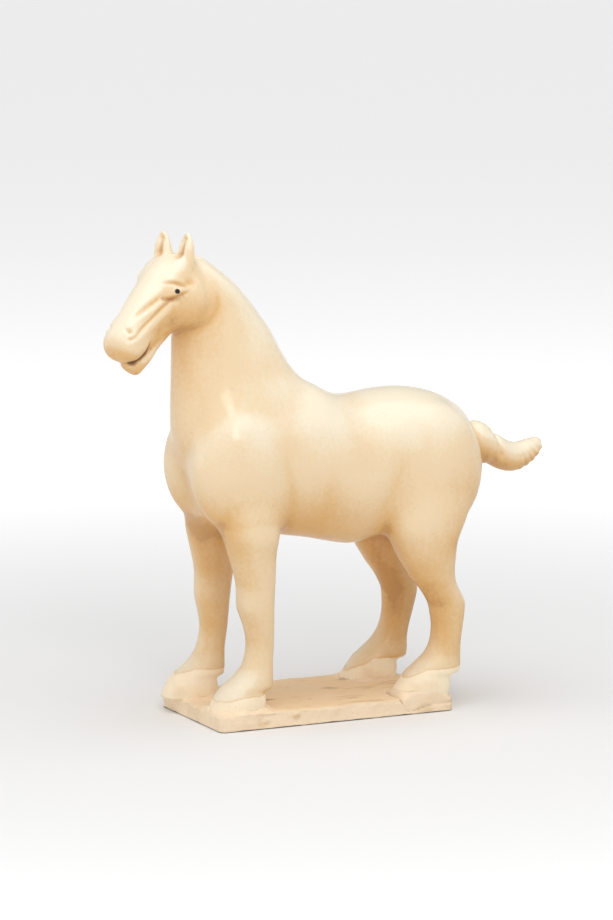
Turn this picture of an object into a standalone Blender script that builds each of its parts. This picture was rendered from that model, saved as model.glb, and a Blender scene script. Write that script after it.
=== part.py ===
"""Glazed pottery horse standing on a thin slab.

Metres, +Z up. The horse faces -Y and its left side is +X. The origin is the
middle of the slab's underside. Sizes in the tables below are in millimetres.
"""
import math

import bmesh
import bpy
from mathutils import Matrix, Vector

MM = 0.001

# Slab and stance
SLAB_LENGTH = 185.5
SLAB_WIDTH = 107.0
SLAB_THICKNESS = 12.0
SLAB_EDGE = 1.6
SEAM = 0.3
SOLE = SLAB_THICKNESS + SEAM
FORE_TRACK = 62.0
HIND_TRACK = 70.0
FAR_FORE_LEAD = 9.5
FAR_HIND_LEAD = 7.5
FORE_LEAD_FROM = (150.0, 45.0)
HIND_LEAD_FROM = (95.0, 40.0)

HEEL_SQUARENESS = 3.2

# Broken back corner on the horse's left: how far it runs in and how thick it is left
CHIP_REACH = 13.0
CHIP_LEFT = 5.5

# Mane ridge on the crest: heights it spans, its width, how it stands out and fades
MANE_SPAN = (245.0, 332.0)
MANE_WIDTH = 4.4
MANE_HEIGHT = 1.8
MANE_SUNK = 5.0
MANE_FADE = 30.0

# Head carriage
POLL = (0.0, -99.0, 329.0)
HEAD_YAW = 20.0
HEAD_PITCH = 42.0

# Mesh fineness
RING_POINTS = 36
SPAN_STEPS = 4
VOXEL = 2.0
THIN_RATIO = 0.075

# Trunk, cut upright: y, middle z, half width, half height
TRUNK = [
    (-92, 184, 16, 26),
    (-84, 185, 31, 40),
    (-60, 187, 42, 51),
    (-25, 185.5, 46, 55.5),
    (-3, 183, 46.5, 56.5),
    (17, 175.5, 47, 53.5),
    (32, 173.7, 47.5, 53.6),
    (50, 177.5, 48, 52.5),
    (72, 181, 48, 50),
    (94, 182, 44, 45.5),
    (110, 182, 35, 38.5),
    (122, 183, 24, 29),
    (130, 184, 13, 17),
]

# Neck, cut level: z, front y, back y, half width
NECK = [
    (160, -86, 20, 35),
    (188, -99, 18, 41),
    (206, -103.5, 12, 40.5),
    (222, -104.3, 5, 37.5),
    (236, -104.3, -2, 33),
    (250, -104.3, -15, 28.5),
    (266, -104.3, -25, 25),
    (276, -104.3, -30.5, 23),
    (290, -103, -41, 21),
    (303, -101, -51.5, 19.5),
    (314, -99, -62.5, 18),
    (323, -98, -74, 15.5),
    (330, -97, -85.5, 11),
    (333, -96, -90, 6),
]

# Legs and hooves, cut level: z, front y, back y, half width, shift inwards
FORE_LEG = [
    (178, -86, -32, 20, 6),
    (150, -83, -36, 20.5, 3),
    (134, -79.2, -38.2, 19.5, 0),
    (122, -75.4, -40.8, 17, 0),
    (103, -69.8, -41.4, 14.2, 0),
    (84, -68.1, -42.3, 13, 0),
    (71, -64.4, -42.2, 11.2, 0),
    (59, -62.1, -42.3, 10.1, 0),
    (45, -64, -43.2, 10.8, 0),
    (38, -68.5, -43.3, 12.3, 0),
    (31, -76.1, -43.5, 14.5, 0),
    (25, -85, -44.4, 16, 0),
]
HIND_LEG = [
    (180, 48, 122, 22, 8),
    (155, 47, 116.5, 21, 4),
    (140, 46.5, 111, 20.5, 1.5),
    (129, 48.8, 105.2, 19.5, 0),
    (121, 51.8, 101.8, 18.5, 0),
    (111, 57, 100.4, 17.5, 0),
    (103, 62.2, 99.7, 16, 0),
    (95, 67.5, 100, 15, 0),
    (89, 73, 102, 13.5, 0),
    (78, 80.1, 108.1, 12, 0),
    (71, 82.2, 108.4, 11.6, 0),
    (60, 83.8, 107, 11, 0),
    (48, 82.4, 105.2, 11, 0),
    (39, 77.2, 104.8, 12, 0),
    (32.5, 69.2, 104.8, 14, 0),
    (25, 62.2, 103.8, 16, 0),
]
FORE_HOOF = [
    (27, -82, -55, 13, 0),
    (21, -86.7, -52.5, 16, 0),
    (12, -90.5, -53, 17, 0),
    (6, -92, -53, 17.5, 0),
]
HIND_HOOF = [
    (27, 64, 91, 13, 0),
    (20, 57, 93.5, 16, 0),
    (12, 51, 93, 17, 0),
    (6, 50, 93, 17.5, 0),
]

# Head and lower jaw, cut across the nose line: distance from the poll, top, bottom, half width
SKULL = [
    (-14, 2, -26, 10),
    (-4, 8, -35, 17),
    (9, 12, -39, 20),
    (24, 14, -37, 20),
    (37, 13.5, -33, 17.5),
    (50, 12.5, -26, 15),
    (63, 11.5, -21.5, 14),
    (74, 9.5, -18.5, 15),
    (84, 4.5, -15.5, 13.5),
    (89.5, -2.5, -11, 7.5),
]
JAW = [
    (36, -17, -29, 9),
    (52, -15.5, -27.5, 9.5),
    (68, -17, -28, 9.5),
    (79, -19, -30, 9),
    (86, -23, -30, 6),
]

# Tail, swept along the middle plane: y, z, half thickness, half width
TAIL_KNOT = [
    (120, 190, 9, 9),
    (130, 188.5, 13, 13),
    (138, 187, 15, 15),
    (146, 184, 13.5, 14),
    (152, 181.5, 8, 9),
]
TAIL_TIP = [
    (140, 184, 10, 11),
    (152, 179.5, 12.5, 12),
    (162, 175, 11.3, 11),
    (171, 174, 10.2, 10),
    (180, 176.8, 9, 9),
    (187, 180, 6.5, 7),
    (190, 181.5, 3, 4),
]

# Paired bulges: middle x, y, z, then radii
BREAST = ((23.5, -59, 180), (25.5, 42, 46))
HAUNCH = ((24, 84, 173), (26.5, 43, 50))

# Paired head forms in the head's own frame: middle x, distance, z, then radii
CHEEK = ((13, 22, -16), (9, 16.5, 16.5))
BROW = ((13.5, 27, 3), (7, 9, 8))
EAR_BASE = (11.0, 3.5, 5.5)
EAR_HEIGHT = 25.0
EAR_WIDTH = 7.0
EAR_DEPTH = 5.0


def reset():
    for obj in list(bpy.data.objects):
        bpy.data.objects.remove(obj, do_unlink=True)


def new_collection(name):
    collection = bpy.data.collections.new(name)
    bpy.context.scene.collection.children.link(collection)
    return collection


def material(name, color, roughness):
    mat = bpy.data.materials.new(name)
    mat.use_nodes = True
    shader = mat.node_tree.nodes["Principled BSDF"]
    shader.inputs["Base Color"].default_value = (*color, 1.0)
    shader.inputs["Roughness"].default_value = roughness
    shader.inputs["Metallic"].default_value = 0.0
    mat.diffuse_color = (*color, 1.0)
    return mat


def smooth_table(table):
    """The table's rows with smooth rows between them."""
    rows = []
    last = len(table) - 1
    for i in range(last):
        picks = [table[min(max(k, 0), last)] for k in (i - 1, i, i + 1, i + 2)]
        for step in range(SPAN_STEPS):
            f = step / SPAN_STEPS
            rows.append(tuple(
                0.5 * (2 * b + (c - a) * f + (2 * a - 5 * b + 4 * c - d) * f * f
                       + (3 * b - a - 3 * c + d) * f ** 3)
                for a, b, c, d in zip(*picks)
            ))
    rows.append(tuple(table[last]))
    return rows


def ring(middle, across, upward, squareness=2.0, end_squareness=None):
    """Points of a rounded section; its upward end may be squarer than the other."""
    points = []
    for k in range(RING_POINTS):
        turn = 2 * math.pi * k / RING_POINTS
        power = 2.0 / squareness
        if end_squareness and math.sin(turn) > 0:
            power = 2.0 / end_squareness
        u = math.copysign(abs(math.cos(turn)) ** power, math.cos(turn))
        v = math.copysign(abs(math.sin(turn)) ** power, math.sin(turn))
        points.append((middle + across * u + upward * v) * MM)
    return points


def skin(name, rings):
    """A closed mesh object through the rings, in order."""
    bm = bmesh.new()
    loops = [[bm.verts.new(p) for p in points] for points in rings]
    for low, high in zip(loops, loops[1:]):
        for k in range(RING_POINTS):
            n = (k + 1) % RING_POINTS
            bm.faces.new((low[k], low[n], high[n], high[k]))
    bm.faces.new(loops[0])
    bm.faces.new(loops[-1])
    bmesh.ops.recalc_face_normals(bm, faces=bm.faces)
    mesh = bpy.data.meshes.new(name)
    bm.to_mesh(mesh)
    bm.free()
    return bpy.data.objects.new(name, mesh)


def ellipsoid(name, middle, radii, frame=Matrix()):
    bm = bmesh.new()
    bmesh.ops.create_uvsphere(bm, u_segments=32, v_segments=20, radius=MM)
    place = frame @ Matrix.Translation(Vector(middle) * MM) @ Matrix.Diagonal((*radii, 1.0))
    bmesh.ops.transform(bm, matrix=place, verts=bm.verts)
    mesh = bpy.data.meshes.new(name)
    bm.to_mesh(mesh)
    bm.free()
    return bpy.data.objects.new(name, mesh)


def trunk():
    rings = [
        ring(Vector((0, y, z)), Vector((wide, 0, 0)), Vector((0, 0, high)), 2.15)
        for y, z, wide, high in smooth_table(TRUNK)
    ]
    return skin("trunk", rings)


def neck():
    rings = [
        ring(Vector((0, (front + back) / 2, z)), Vector((wide, 0, 0)),
             Vector((0, (back - front) / 2, 0)), 2.1)
        for z, front, back, wide in smooth_table(NECK)
    ]
    return skin("neck", rings)


def mane():
    """A low ridge along the crest that fades at the withers."""
    crest = [(z, back) for z, front, back, wide in NECK if MANE_SPAN[0] < z < MANE_SPAN[1]]
    rings = []
    for z, back in smooth_table(crest):
        grown = min((z - MANE_SPAN[0]) / MANE_FADE, 1.0)
        middle = Vector((0, back - MANE_SUNK, z))
        rings.append(ring(middle, Vector((MANE_WIDTH / 2, 0, 0)),
                          Vector((0, MANE_SUNK + MANE_HEIGHT * grown, 0)), 2.6))
    return skin("mane", rings)


def leg(name, table, side, track, lead, lead_from, heel_squareness):
    """A leg or hoof that steps forward by its lead, reached between two heights."""
    rings = []
    high, low = lead_from
    for z, front, back, wide, inward in smooth_table(table):
        step = lead * min(max((high - z) / (high - low), 0.0), 1.0)
        middle = Vector((side * (track / 2 - inward), (front + back) / 2 - step, z))
        rings.append(ring(middle, Vector((wide, 0, 0)), Vector((0, (back - front) / 2, 0)),
                          2.1, heel_squareness))
    return skin(name, rings)


def tail(name, table):
    rows = smooth_table(table)
    rings = []
    for k, (y, z, thick, wide) in enumerate(rows):
        before = rows[max(k - 1, 0)]
        after = rows[min(k + 1, len(rows) - 1)]
        along = Vector((0, after[0] - before[0], after[1] - before[1])).normalized()
        normal = Vector((0, -along.z, along.y))
        rings.append(ring(Vector((0, y, z)), Vector((wide, 0, 0)), normal * thick))
    return skin(name, rings)


def head_frame():
    """The head's own frame: origin at the poll, nose along its -Y."""
    turn = Matrix.Rotation(math.radians(HEAD_YAW), 4, "Z")
    nod = Matrix.Rotation(math.radians(HEAD_PITCH), 4, "X")
    return Matrix.Translation(Vector(POLL) * MM) @ turn @ nod


def head_loft(name, table, frame, squareness):
    rings = [
        ring(Vector((0, -along, (top + bottom) / 2)), Vector((wide, 0, 0)),
             Vector((0, 0, (top - bottom) / 2)), squareness)
        for along, top, bottom, wide in smooth_table(table)
    ]
    obj = skin(name, rings)
    obj.data.transform(frame)
    return obj


def ear(name, side, frame):
    """A leaf-shaped ear that stands upright on the poll, whatever the head's pitch."""
    upright = frame @ Matrix.Translation((side * EAR_BASE[0] * MM, -EAR_BASE[1] * MM, EAR_BASE[2] * MM))
    upright = upright @ Matrix.Rotation(-math.radians(HEAD_PITCH), 4, "X")
    rings = []
    for k in range(11):
        f = k / 10
        swell = math.sin(math.pi * (0.3 + 0.7 * f)) ** 0.8 + 0.04
        middle = Vector((side * 1.5 * f, 2 * f * f, EAR_HEIGHT * (f - 0.2)))
        rings.append(ring(middle, Vector((EAR_WIDTH * swell, 0, 0)), Vector((0, EAR_DEPTH * swell, 0))))
    obj = skin(name, rings)
    obj.data.transform(upright)
    return obj


def horse_masses():
    """Every rounded mass that the horse is fused from."""
    frame = head_frame()
    masses = [trunk(), neck(), mane(), tail("tail_knot", TAIL_KNOT), tail("tail_tip", TAIL_TIP)]
    masses.append(head_loft("skull", SKULL, frame, 2.3))
    masses.append(head_loft("jaw", JAW, frame, 2.2))
    for side, word in ((1, "near"), (-1, "far")):
        fore_lead = FAR_FORE_LEAD if side < 0 else 0.0
        hind_lead = FAR_HIND_LEAD if side < 0 else 0.0
        for label, table, heel in (("fore_leg", FORE_LEG, 2.1), ("fore_hoof", FORE_HOOF, HEEL_SQUARENESS)):
            masses.append(leg(f"{word}_{label}", table, side, FORE_TRACK, fore_lead, FORE_LEAD_FROM, heel))
        for label, table, heel in (("hind_leg", HIND_LEG, 2.1), ("hind_hoof", HIND_HOOF, HEEL_SQUARENESS)):
            masses.append(leg(f"{word}_{label}", table, side, HIND_TRACK, hind_lead, HIND_LEAD_FROM, heel))
        for label, (middle, radii) in (("breast", BREAST), ("haunch", HAUNCH)):
            x, y, z = middle
            masses.append(ellipsoid(word + "_" + label, (side * x, y, z), radii))
        for label, (middle, radii) in (("cheek", CHEEK), ("brow", BROW)):
            x, along, z = middle
            masses.append(ellipsoid(word + "_" + label, (side * x, -along, z), radii, frame))
        masses.append(ear(word + "_ear", side, frame))
    return masses


def join(name, pieces):
    """One mesh object holding all the pieces."""
    bm = bmesh.new()
    for piece in pieces:
        bm.from_mesh(piece.data)
        bpy.data.objects.remove(piece, do_unlink=True)
    mesh = bpy.data.meshes.new(name)
    bm.to_mesh(mesh)
    bm.free()
    return bpy.data.objects.new(name, mesh)


def box(name, low, high):
    bm = bmesh.new()
    bmesh.ops.create_cube(bm, size=1.0)
    size = Vector(high) - Vector(low)
    middle = (Vector(high) + Vector(low)) / 2
    place = Matrix.Translation(middle * MM) @ Matrix.Diagonal((*(size * MM), 1.0))
    bmesh.ops.transform(bm, matrix=place, verts=bm.verts)
    mesh = bpy.data.meshes.new(name)
    bm.to_mesh(mesh)
    bm.free()
    return bpy.data.objects.new(name, mesh)


def make_cutter(obj, collection):
    collection.objects.link(obj)
    obj.hide_render = True
    obj.display_type = "WIRE"
    return obj


def build_horse(parts, cutters, glaze):
    horse = join("horse", horse_masses())
    parts.objects.link(horse)
    horse.data.materials.append(glaze)

    remesh = horse.modifiers.new("fuse", "REMESH")
    remesh.mode = "VOXEL"
    remesh.voxel_size = VOXEL * MM
    soften = horse.modifiers.new("soften", "SMOOTH")
    soften.factor = 0.5
    soften.iterations = 12
    thin = horse.modifiers.new("thin", "DECIMATE")
    thin.ratio = THIN_RATIO

    floor = box("sole_cut", (-80, -130, -10), (80, 130, SOLE))
    make_cutter(floor, cutters)
    trim = horse.modifiers.new("flat_soles", "BOOLEAN")
    trim.operation = "DIFFERENCE"
    trim.solver = "EXACT"
    trim.object = floor
    return horse


def build_slab(parts, cutters, clay):
    slab = box("base_slab", (-SLAB_WIDTH / 2, -SLAB_LENGTH / 2, 0),
               (SLAB_WIDTH / 2, SLAB_LENGTH / 2, SLAB_THICKNESS))
    parts.objects.link(slab)
    slab.data.materials.append(clay)
    edge = slab.modifiers.new("worn_edge", "BEVEL")
    edge.width = SLAB_EDGE * MM
    edge.segments = 2

    chip = box("corner_chip", (-30, -30, 0), (30, 30, 30))
    make_cutter(chip, cutters)
    fall = math.atan2(SLAB_THICKNESS - CHIP_LEFT, CHIP_REACH)
    chip.rotation_euler = Matrix.Rotation(fall, 3, Vector((-1, 1, 0))).to_euler()
    chip.location = Vector((SLAB_WIDTH / 2, SLAB_LENGTH / 2, CHIP_LEFT)) * MM
    broken = slab.modifiers.new("broken_corner", "BOOLEAN")
    broken.operation = "DIFFERENCE"
    broken.solver = "EXACT"
    broken.object = chip
    return slab


def main():
    reset()
    parts = new_collection("ceramic_horse")
    cutters = new_collection("cutters")
    glaze = material("straw_glaze", (0.83, 0.66, 0.42), 0.22)
    clay = material("bare_clay", (0.74, 0.60, 0.46), 0.8)
    build_horse(parts, cutters, glaze)
    build_slab(parts, cutters, clay)


main()
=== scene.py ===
import math

import bpy
import numpy as np
from mathutils import Matrix, Vector, noise


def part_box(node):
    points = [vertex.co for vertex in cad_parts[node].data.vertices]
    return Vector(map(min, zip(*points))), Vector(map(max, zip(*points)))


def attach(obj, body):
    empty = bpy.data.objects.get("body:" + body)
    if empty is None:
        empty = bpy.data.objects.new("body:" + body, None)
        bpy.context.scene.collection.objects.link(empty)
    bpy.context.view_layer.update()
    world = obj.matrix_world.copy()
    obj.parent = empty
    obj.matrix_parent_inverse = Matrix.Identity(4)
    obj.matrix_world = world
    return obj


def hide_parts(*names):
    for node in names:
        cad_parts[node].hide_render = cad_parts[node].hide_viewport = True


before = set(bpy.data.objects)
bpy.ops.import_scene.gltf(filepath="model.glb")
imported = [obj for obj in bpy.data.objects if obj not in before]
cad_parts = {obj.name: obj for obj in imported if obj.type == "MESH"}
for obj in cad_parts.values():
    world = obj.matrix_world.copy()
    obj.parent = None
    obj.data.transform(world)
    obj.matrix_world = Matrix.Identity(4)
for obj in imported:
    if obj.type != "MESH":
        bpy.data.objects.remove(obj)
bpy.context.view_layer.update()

mm = 0.001

# Glazed pottery horse on its slab. The horse faces -Y and its left side is +X.
# Tables are in millimetres, everything that reaches Blender is in metres.

horse = {
    "ringSides": 40,        # points round each section
    "betweenRows": 4,       # smooth rows added between two table rows
    "roughClay": 1.9,       # voxel size of the first blocking out, mm
    "clay": 0.95,           # voxel size of the finished figure, mm
    "clayQuick": 1.5,
    "triangles": 186000,    # the finished mesh stays under 200,000
    "bodyFill": 160,        # rounds of filling creases and of smoothing, body then head and feet
    "bodySmooth": 42,
    "headFill": 45,
    "headSmooth": 26,
    "foreTrack": 62.0,      # hoof middle to hoof middle, across
    "hindTrack": 70.0,
    "foreLead": (9.5, 150.0, 45.0),    # far foreleg: how far forward, from and to which height
    "hindLead": (7.5, 95.0, 40.0),
    "heelSquareness": 3.2,
    "sole": 11.3,           # the hooves are cut off flat here, inside the slab
    # cut upright: y, middle z, half width, half height
    "trunk": [
        (-92, 184, 16, 26), (-84, 185, 31, 40), (-60, 187, 42.5, 51.5), (-25, 185.5, 46.5, 56),
        (-3, 183, 47, 57), (17, 175.5, 47.5, 54), (32, 173.7, 48, 54.1), (50, 177.5, 48.5, 53),
        (72, 181, 48.5, 50.6), (94, 182, 44.5, 46.2), (110, 182, 36, 39.4), (122, 183, 25, 30),
        (130, 184, 14, 18),
    ],
    # cut level: z, front y, back y, half width
    "neck": [
        (146, -84, 20, 26), (162, -92, 20, 34), (188, -99.5, 18, 41.5), (206, -104, 12, 41),
        (222, -104.8, 5, 38), (236, -104.8, -1.5, 33.5), (250, -104.8, -14.5, 29),
        (266, -104.8, -24.5, 25.5), (276, -104.8, -30, 23.5), (290, -103.5, -40.5, 21.3),
        (303, -101.5, -51, 19.7),
        (314, -99, -62, 17.5), (322, -98, -72.5, 14.5), (328, -97, -81, 10), (331, -96, -86, 6),
    ],
    # cut level: z, front y, back y, half width, shift inwards
    "foreLeg": [
        (178, -86, -32, 20, 6), (150, -83, -36, 20.5, 3), (134, -79.2, -38.2, 19.5, 0),
        (122, -75.6, -40.6, 17.2, 0), (103, -70, -41.2, 14.4, 0), (84, -68.3, -42.1, 13.2, 0),
        (71, -64.6, -42, 11.4, 0), (59, -62.3, -42.1, 10.3, 0), (45, -64.2, -43, 11, 0),
        (38, -68.7, -43.1, 12.5, 0), (31, -76.3, -43.3, 14.7, 0), (25, -85.2, -44.2, 16.2, 0),
    ],
    "hindLeg": [
        (180, 48, 122, 22, 8), (155, 47, 116.5, 21, 4), (140, 46.5, 111, 20.5, 1.5),
        (129, 48.8, 105.4, 19.5, 0), (121, 51.8, 102, 18.7, 0), (111, 57, 100.6, 17.7, 0),
        (103, 62.2, 99.9, 16.2, 0), (95, 67.5, 100.2, 15.1, 0), (89, 73, 102.2, 13.7, 0),
        (78, 80, 108.3, 12.2, 0), (71, 82, 108.6, 11.8, 0), (60, 83.6, 107.2, 11.2, 0),
        (48, 82.2, 105.4, 11.2, 0), (39, 77, 105, 12.2, 0), (32.5, 69, 105, 14.2, 0),
        (25, 62, 104, 16.2, 0),
    ],
    "foreHoof": [
        (29, -80, -55, 13, 0), (21, -86.7, -51, 16.6, 0), (12, -90.8, -51.6, 17.6, 0),
        (6, -92, -51.6, 17.8, 0),
    ],
    "hindHoof": [
        (29, 64, 92, 13, 0), (20, 57, 94.4, 16.4, 0), (12, 51, 93.2, 17, 0), (6, 50, 93, 17, 0),
    ],
    # cut upright: y, middle z, half width, half height
    "tailKnot": [
        (120, 190, 9, 9), (130, 188.5, 13, 13), (138, 187, 15, 15.3), (146, 184, 14, 13.8),
        (152, 181.5, 9, 8),
    ],
    "tailTip": [
        (140, 184, 11, 10), (152, 179.5, 12, 12.8), (162, 175, 11, 11.6), (171, 174, 10, 10.4),
        (180, 177, 9, 9.4), (187, 180.2, 7, 6.8), (190.5, 181.7, 4, 3.2),
    ],
    # paired bulges: middle x, y, z, then radii
    "breast": ((23, -58, 182), (26.5, 43.5, 48.5)),
    "haunch": ((24, 84, 173), (27, 43.6, 50.6)),
    # the roll down the crest: heights it spans, fade at the low end, rise and half width
    "maneSpan": (236.0, 333.0),
    "maneFade": 34.0,
    "maneRise": 1.3,
    "maneRoll": 2.6,
    "maneGroove": (4.4, 1.2, 1.3),     # beside the roll: how far out, half width, depth
}

head = {
    "poll": (0.0, -99.0, 329.0),
    "yaw": 20.0,            # turned to the horse's left, degrees
    "pitch": 42.0,          # nose down, degrees
    # cut across the nose line: distance from the poll, top, bottom, half width
    "skull": [
        (-10, -7, -26, 7), (-3, 4, -34, 15), (9, 12.5, -38, 19.5), (24, 14, -35, 19.5),
        (37, 13.3, -31.5, 17.5), (50, 12.2, -25.5, 15), (63, 11, -21, 14), (74, 9.6, -19, 14.6),
        (81, 7.4, -17, 14.4),
        (85, 4, -14.2, 12.6), (87.4, -0.2, -11.6, 9), (88.3, -3, -9, 4.4),
    ],
    "jaw": [
        (34, -19, -30, 7.5), (50, -18.5, -28, 8.6), (62, -17, -26.4, 10), (72, -16, -26.9, 11),
        (78, -15.5, -27.6, 9.6), (82.4, -15, -28.8, 6.4), (85.2, -14.5, -27, 4.8), (87, -14, -21, 4.4),
    ],
    # paired forms: middle side, distance, height, then radii
    "cheek": ((12, 21.5, -15.5), (12.2, 20.5, 20.5)),
    "brow": ((10.5, 18, 3.2), (8.4, 20, 9)),
    "earBase": (11.0, 3.0, 5.0),
    "earHeight": 24.0,
    "earWidth": 7.4,
    "earDepth": 5.6,
    "earHollow": 3.2,
}

eyes = {
    "along": 28.9,          # the pupil, from the poll along the head
    "up": 0.6,
    "radius": 1.75,
    "edge": 0.25,
}


def clearSelection():
    active = bpy.context.object
    if active and active.mode != "OBJECT":
        bpy.ops.object.mode_set(mode="OBJECT")
    bpy.ops.object.select_all(action="DESELECT")


def pick(obj):
    clearSelection()
    obj.select_set(True)
    bpy.context.view_layer.objects.active = obj


def easedRows(rows, steps):
    # a smooth curve through the table's rows, column by column
    last = len(rows) - 1
    eased = []
    for i in range(last):
        around = [rows[min(max(k, 0), last)] for k in (i - 1, i, i + 1, i + 2)]
        for step in range(steps):
            f = step / steps
            eased.append(tuple(
                0.5 * (2 * b + (c - a) * f + (2 * a - 5 * b + 4 * c - d) * f * f
                       + (3 * b - a - 3 * c + d) * f ** 3)
                for a, b, c, d in zip(*around)
            ))
    eased.append(tuple(rows[last]))
    return eased


def startDisc(name, squareness, endSquareness=None):
    # a filled circle whose corners are squared a little, lying level
    clearSelection()
    bpy.ops.mesh.primitive_circle_add(vertices=horse["ringSides"], radius=1.0, fill_type="NGON")
    disc = bpy.context.object
    disc.name = name
    for v in disc.data.vertices:
        power = 2.0 / (endSquareness if endSquareness and v.co.y > 0 else squareness)
        v.co.x = math.copysign(abs(v.co.x) ** power, v.co.x)
        v.co.y = math.copysign(abs(v.co.y) ** power, v.co.y)
    return disc


def drawOut(disc, sections):
    # the disc is pulled from section to section, moved and resized at each
    bpy.ops.object.mode_set(mode="EDIT")
    bpy.ops.mesh.select_all(action="SELECT")
    here = Vector((0, 0, 0))
    size = Vector((1, 1, 1))
    for k, (middle, spread) in enumerate(sections):
        middle = Vector(middle) * mm
        spread = Vector(spread) * mm
        if k:
            bpy.ops.mesh.extrude_region_move(TRANSFORM_OT_translate={"value": middle - here})
        else:
            bpy.ops.transform.translate(value=middle - here)
        change = [s / z if s else 1.0 for s, z in zip(spread, size)]
        bpy.ops.transform.resize(value=change, center_override=middle)
        here = middle
        size = Vector([s if s else z for s, z in zip(spread, size)])
    bpy.ops.mesh.select_all(action="SELECT")
    bpy.ops.mesh.normals_make_consistent(inside=False)
    bpy.ops.object.mode_set(mode="OBJECT")
    return disc


def levelLimb(name, rows, side=1, track=0.0, lead=(0.0, 1.0, 0.0), endSquareness=None):
    # sections cut level, for the neck, legs and hooves
    disc = startDisc(name, 2.1, endSquareness)
    forward, high, low = lead
    sections = []
    for row in easedRows(rows, horse["betweenRows"]):
        z, front, back, wide = row[:4]
        inward = row[4] if len(row) > 4 else 0.0
        step = forward * min(max((high - z) / (high - low), 0.0), 1.0)
        sections.append(((side * (track / 2 - inward), (front + back) / 2 - step, z),
                         (wide, (back - front) / 2, 0)))
    return drawOut(disc, sections)


def uprightLimb(name, rows, squareness=2.15):
    # sections cut upright, for the trunk and tail
    disc = startDisc(name, squareness)
    disc.rotation_euler.x = math.radians(90)
    bpy.ops.object.transform_apply(location=False, rotation=True, scale=False)
    sections = [((0, y, z), (wide, 0, tall)) for y, z, wide, tall in easedRows(rows, horse["betweenRows"])]
    return drawOut(disc, sections)


def bulge(name, middle, radii, place=Matrix()):
    clearSelection()
    bpy.ops.mesh.primitive_uv_sphere_add(segments=40, ring_count=24, radius=1.0)
    ball = bpy.context.object
    ball.name = name
    spread = Matrix.Diagonal((*[r * mm for r in radii], 1))
    ball.matrix_world = place @ Matrix.Translation(Vector(middle) * mm) @ spread
    bpy.ops.object.transform_apply(location=True, rotation=True, scale=True)
    return ball


def headPlace():
    turn = Matrix.Rotation(math.radians(head["yaw"]), 4, "Z")
    nod = Matrix.Rotation(math.radians(head["pitch"]), 4, "X")
    return Matrix.Translation(Vector(head["poll"]) * mm) @ turn @ nod


def headLimb(name, rows, squareness):
    # built nose forward along -Y, then carried to the poll and turned
    disc = startDisc(name, squareness)
    disc.rotation_euler.x = math.radians(90)
    bpy.ops.object.transform_apply(location=False, rotation=True, scale=False)
    sections = [((0, -out, (top + bottom) / 2), (wide, 0, (top - bottom) / 2))
                for out, top, bottom, wide in easedRows(rows, horse["betweenRows"])]
    limb = drawOut(disc, sections)
    limb.matrix_world = headPlace()
    pick(limb)
    bpy.ops.object.transform_apply(location=True, rotation=True, scale=True)
    return limb


def earStand(side):
    # where an ear stands in the head's frame: upright whatever the pitch, its hollow facing ahead
    out, along, up = head["earBase"]
    stand = Matrix.Translation(Vector((side * out, -along, up)) * mm)
    stand = stand @ Matrix.Rotation(-math.radians(head["pitch"]), 4, "X")
    return stand @ Matrix.Rotation(side * math.radians(-3), 4, "Z")


def buildEar(name, side):
    # a leaf shape, pointed at the top
    disc = startDisc(name, 2.0)
    sections = []
    for k in range(15):
        f = k / 14
        swell = math.sin(math.pi * (0.34 + 0.6 * f)) ** 0.62 * (1 - 0.5 * f ** 8)
        sections.append(((side * 1.2 * f, 1.5 * f * f, head["earHeight"] * (f - 0.22)),
                         (head["earWidth"] * swell, head["earDepth"] * swell, 0)))
    ear = drawOut(disc, sections)
    ear.matrix_world = headPlace() @ earStand(side)
    pick(ear)
    bpy.ops.object.transform_apply(location=True, rotation=True, scale=True)
    return ear


def legPart(word, side, pair, part, squareness=None):
    # only the far legs stand ahead of the near ones
    lead = horse[pair + "Lead"] if side < 0 else (0.0, 1.0, 0.0)
    name, rows, track = word + pair.title() + part, horse[pair + part], horse[pair + "Track"]
    return levelLimb(name, rows, side, track, lead, squareness)


def bodyMasses():
    masses = [uprightLimb("trunk", horse["trunk"]), levelLimb("neck", horse["neck"])]
    for side, word in ((1, "near"), (-1, "far")):
        masses += [legPart(word, side, pair, "Leg") for pair in ("fore", "hind")]
        for label in ("breast", "haunch"):
            (x, y, z), radii = horse[label]
            masses.append(bulge(word + label, (side * x, y, z), radii))
    return masses


def headAndEnds():
    # the crisper masses, added once the body is soft
    place = headPlace()
    masses = [
        uprightLimb("tailKnot", horse["tailKnot"], 2.0),
        uprightLimb("tailTip", horse["tailTip"], 2.0),
        headLimb("skull", head["skull"], 2.3),
        headLimb("jaw", head["jaw"], 2.2),
    ]
    for side, word in ((1, "near"), (-1, "far")):
        masses += [legPart(word, side, pair, "Hoof", horse["heelSquareness"]) for pair in ("fore", "hind")]
        for label in ("cheek", "brow"):
            (x, along, z), radii = head[label]
            masses.append(bulge(word + label, (side * x, -along, z), radii, place))
        masses.append(buildEar(word + "Ear", side))
    return masses


def smoothStep(values, low, high):
    t = np.clip((values - low) / (high - low), 0.0, 1.0)
    return t * t * (3 - 2 * t)


def meshPoints(obj):
    co = np.empty(len(obj.data.vertices) * 3)
    obj.data.vertices.foreach_get("co", co)
    return co.reshape(-1, 3)


def meshNormals(obj):
    no = np.empty(len(obj.data.vertices) * 3)
    obj.data.vertices.foreach_get("normal", no)
    return no.reshape(-1, 3)


def setPoints(obj, points):
    obj.data.vertices.foreach_set("co", points.ravel())
    obj.data.update()


def weightGroup(obj, name, weights, steps=40):
    # the weights go in by steps, which is fine enough for smoothing
    group = obj.vertex_groups.new(name=name)
    level = np.clip(np.round(weights * steps), 0, steps).astype(int)
    for k in np.unique(level[level > 0]):
        group.add(np.nonzero(level == k)[0].tolist(), k / steps, "REPLACE")


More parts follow.
